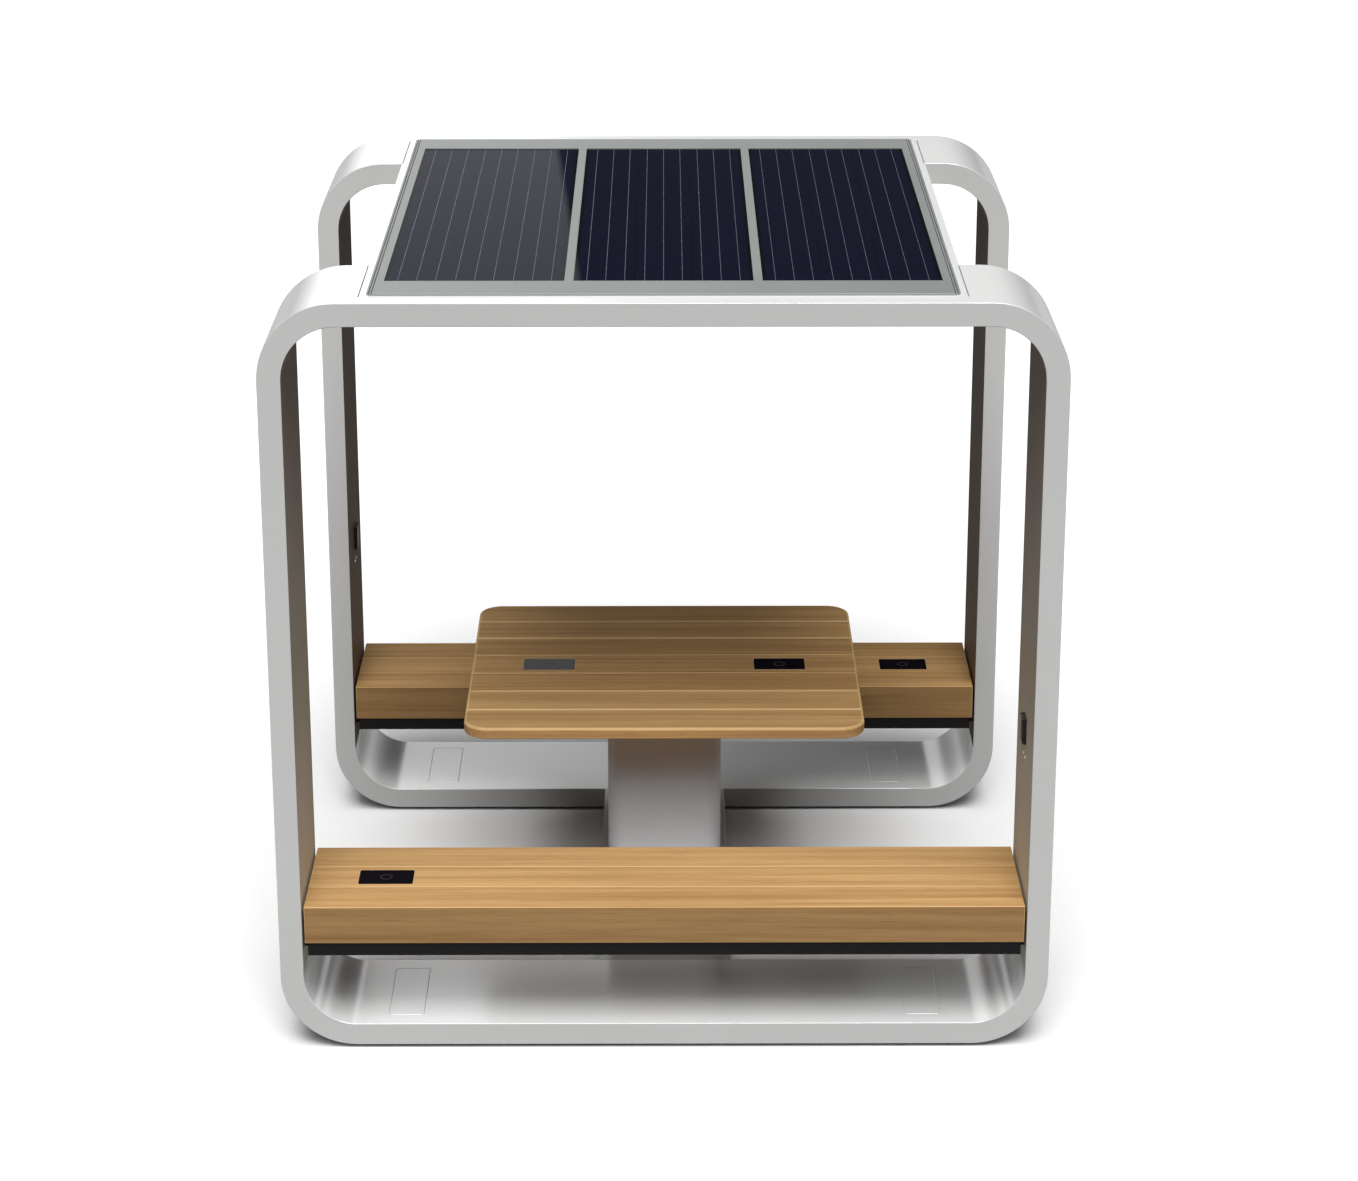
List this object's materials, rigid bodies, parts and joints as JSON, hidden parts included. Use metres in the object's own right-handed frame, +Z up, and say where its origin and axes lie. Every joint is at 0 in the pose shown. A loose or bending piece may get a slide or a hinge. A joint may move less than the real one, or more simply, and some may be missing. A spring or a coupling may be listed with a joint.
{
  "type": "solar charging table",
  "caption": "Park table and benches inside two rounded metal hoops, under a flat solar roof, with charging pads and USB outlets.",
  "frame": {"origin": "on the floor, under the centre of the table", "axes": "+X to the right along the benches, +Y from the front bench to the back bench, +Z up"},
  "size_m": [2.2, 2.2, 2.216],
  "materials": {
    "hoop_metal": "satin silver paint on folded aluminium sheet",
    "rubber": "matt",
    "chassis_metal": "mill finish",
    "fastener_steel": "zinc plated",
    "frame_metal": "grey anodised",
    "solar_glass": "dark blue cells under clear glass",
    "black_plastic": "fine texture",
    "black_steel": "satin black powder coat",
    "wood": "oiled",
    "pedestal_metal": "satin silver powder coat",
    "battery_case": "moulded",
    "module_case": "die-cast",
    "pad_glass": "black printed, polished",
    "copper": "enamelled wire",
    "light_lens": "translucent",
    "lead_sheath": "matt"
  },
  "bodies": {
    "stand": {"front_left_leg": "hoop_metal", "front_right_leg": "hoop_metal", "back_left_leg": "hoop_metal", "back_right_leg": "hoop_metal", "front_base_beam": "hoop_metal", "back_base_beam": "hoop_metal", "floor_spine": "hoop_metal", "roof_tray": "hoop_metal", "ceiling_panel": "hoop_metal", "foot_strips": "rubber", "panel_seal": "rubber", "door_seal": "rubber", "roof_chassis": "chassis_metal", "ceiling_screws": "fastener_steel", "frame_bolts": "fastener_steel", "board_screws": "fastener_steel", "door_hinge_pins": "fastener_steel", "panel_frame": "frame_metal", "left_solar_panel": "solar_glass", "middle_solar_panel": "solar_glass", "right_solar_panel": "solar_glass", "junction_boxes": "black_plastic", "pad_housings": "black_plastic", "usb_outlets": "black_plastic", "front_bench_frame": "black_steel", "back_bench_frame": "black_steel", "bench_brackets": "black_steel", "table_bearers": "black_steel", "bench_end_boards": "wood", "front_bench_outer_apron": "wood", "front_bench_inner_apron": "wood", "back_bench_outer_apron": "wood", "back_bench_inner_apron": "wood", "front_bench_outer_board": "wood", "front_bench_middle_board": "wood", "front_bench_inner_board": "wood", "back_bench_outer_board": "wood", "back_bench_middle_board": "wood", "back_bench_inner_board": "wood", "table_front_board": "wood", "table_back_board": "wood", "table_middle_board": "wood", "table_plain_boards": "wood", "table_head_plate": "pedestal_metal", "pedestal_column": "pedestal_metal", "battery_pack": "battery_case", "charge_controller": "module_case", "power_converter": "module_case", "pad_glasses": "pad_glass", "pad_coils": "copper", "status_lights": "light_lens", "leads": "lead_sheath"},
    "front_left_hatch": {"front_left_hatch": "hoop_metal"},
    "front_right_hatch": {"front_right_hatch": "hoop_metal"},
    "back_left_hatch": {"back_left_hatch": "hoop_metal"},
    "back_right_hatch": {"back_right_hatch": "hoop_metal"},
    "service_door": {"service_door": "pedestal_metal"},
    "door_lock": {"door_lock": "fastener_steel"},
    "front_usb_cover": {"front_usb_cover": "black_plastic"},
    "back_usb_cover": {"back_usb_cover": "black_plastic"}
  },
  "joints": [
    {"name": "front_left_hatch_lift", "type": "slide", "parent": "stand", "child": "front_left_hatch", "axis": [0, 0, 1], "range_m": [0, 0.15]},
    {"name": "front_right_hatch_lift", "type": "slide", "parent": "stand", "child": "front_right_hatch", "axis": [0, 0, 1], "range_m": [0, 0.15]},
    {"name": "back_left_hatch_lift", "type": "slide", "parent": "stand", "child": "back_left_hatch", "axis": [0, 0, 1], "range_m": [0, 0.15]},
    {"name": "back_right_hatch_lift", "type": "slide", "parent": "stand", "child": "back_right_hatch", "axis": [0, 0, 1], "range_m": [0, 0.15]},
    {"name": "service_door_hinge", "type": "hinge", "parent": "stand", "child": "service_door", "pos_m": [-0.11, 0.181, 0.375], "axis": [0, 0, 1], "range_deg": [0, 110]},
    {"name": "door_lock_turn", "type": "hinge", "parent": "service_door", "child": "door_lock", "pos_m": [0.078, 0.175, 0.375], "axis": [0, 1, 0], "range_deg": [0, 90]},
    {"name": "front_usb_cover_hinge", "type": "hinge", "parent": "stand", "child": "front_usb_cover", "pos_m": [1.024, -0.885, 0.936], "axis": [0, 1, 0], "range_deg": [0, 110]},
    {"name": "back_usb_cover_hinge", "type": "hinge", "parent": "stand", "child": "back_usb_cover", "pos_m": [-1.024, 0.885, 0.936], "axis": [0, -1, 0], "range_deg": [0, 110]}
  ]
}
